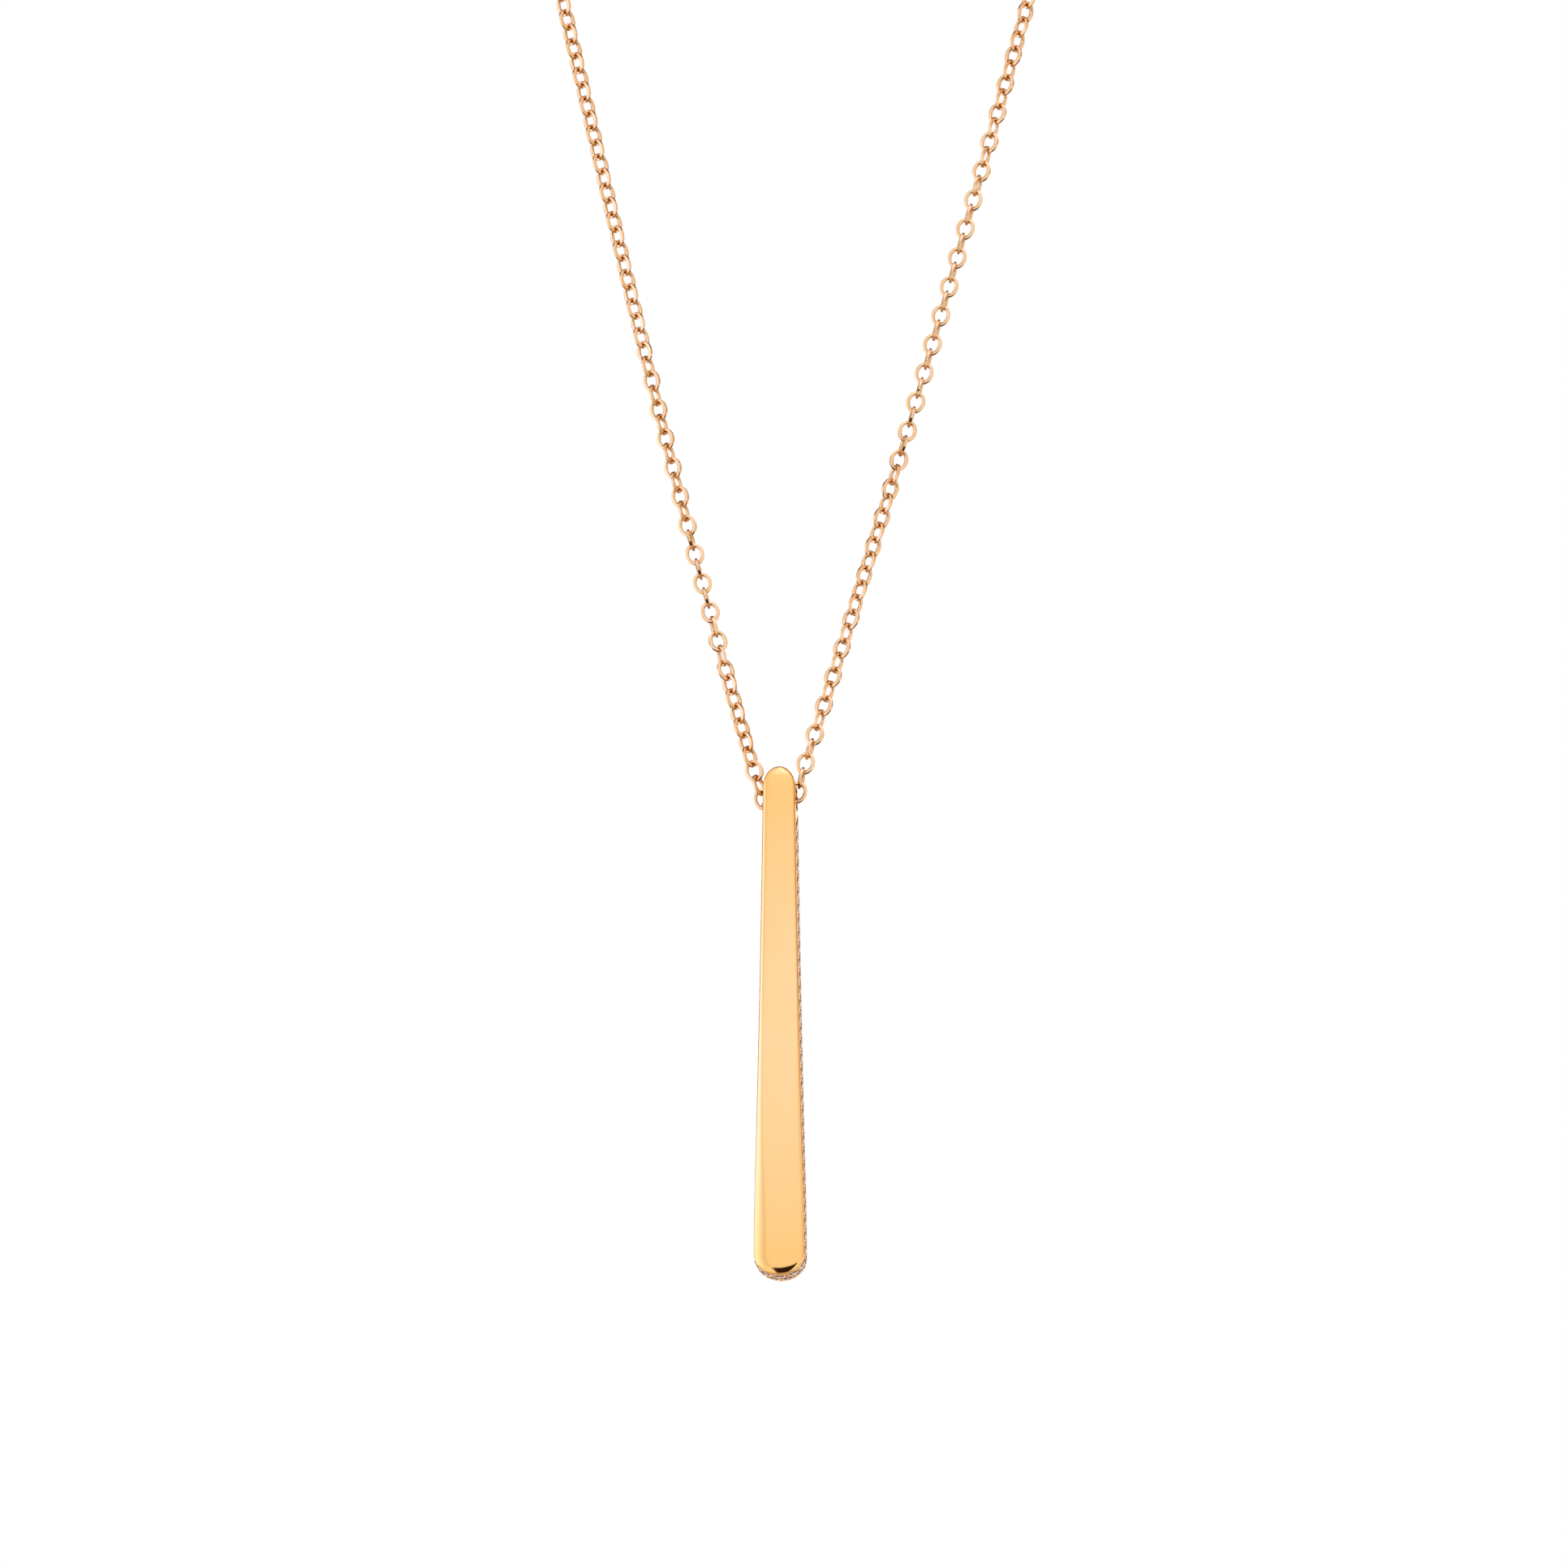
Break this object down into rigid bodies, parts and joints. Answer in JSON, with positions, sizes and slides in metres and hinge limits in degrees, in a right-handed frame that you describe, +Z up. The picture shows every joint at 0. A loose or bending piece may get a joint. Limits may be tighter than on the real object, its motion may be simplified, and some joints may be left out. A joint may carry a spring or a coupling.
{
  "type": "bar pendant necklace",
  "caption": "Slim tapered gold bar pendant with stone-set side walls, hanging from a fine cable chain that passes sideways through its top and closes with a ring clasp.",
  "frame": {"origin": "middle of the clasp, where the closed chain loop rests on the nape", "axes": "+Z up, along the hanging strands; -Y to the front, the way the bar's polished face looks; +X to the viewer's right"},
  "size_m": [0.0728, 0.0516, 0.1919],
  "materials": {
    "gold_bar": "polished 18 carat gold",
    "stones": "faceted clear stones",
    "gold_chain": "polished 18 carat gold links with flat-cut sides",
    "gold_clasp": "polished 18 carat gold"
  },
  "bodies": {
    "necklace": {"chain": "gold_chain", "clasp": "gold_clasp", "end_ring": "gold_clasp"},
    "pendant": {"bar": "gold_bar", "pave_stones": "stones"}
  },
  "joints": [
    {"name": "bar_swing", "type": "hinge", "parent": "necklace", "child": "pendant", "pos_m": [-0.003, -0.049, -0.159], "axis": [1, 0, 0], "range_deg": [-90, 90]}
  ]
}
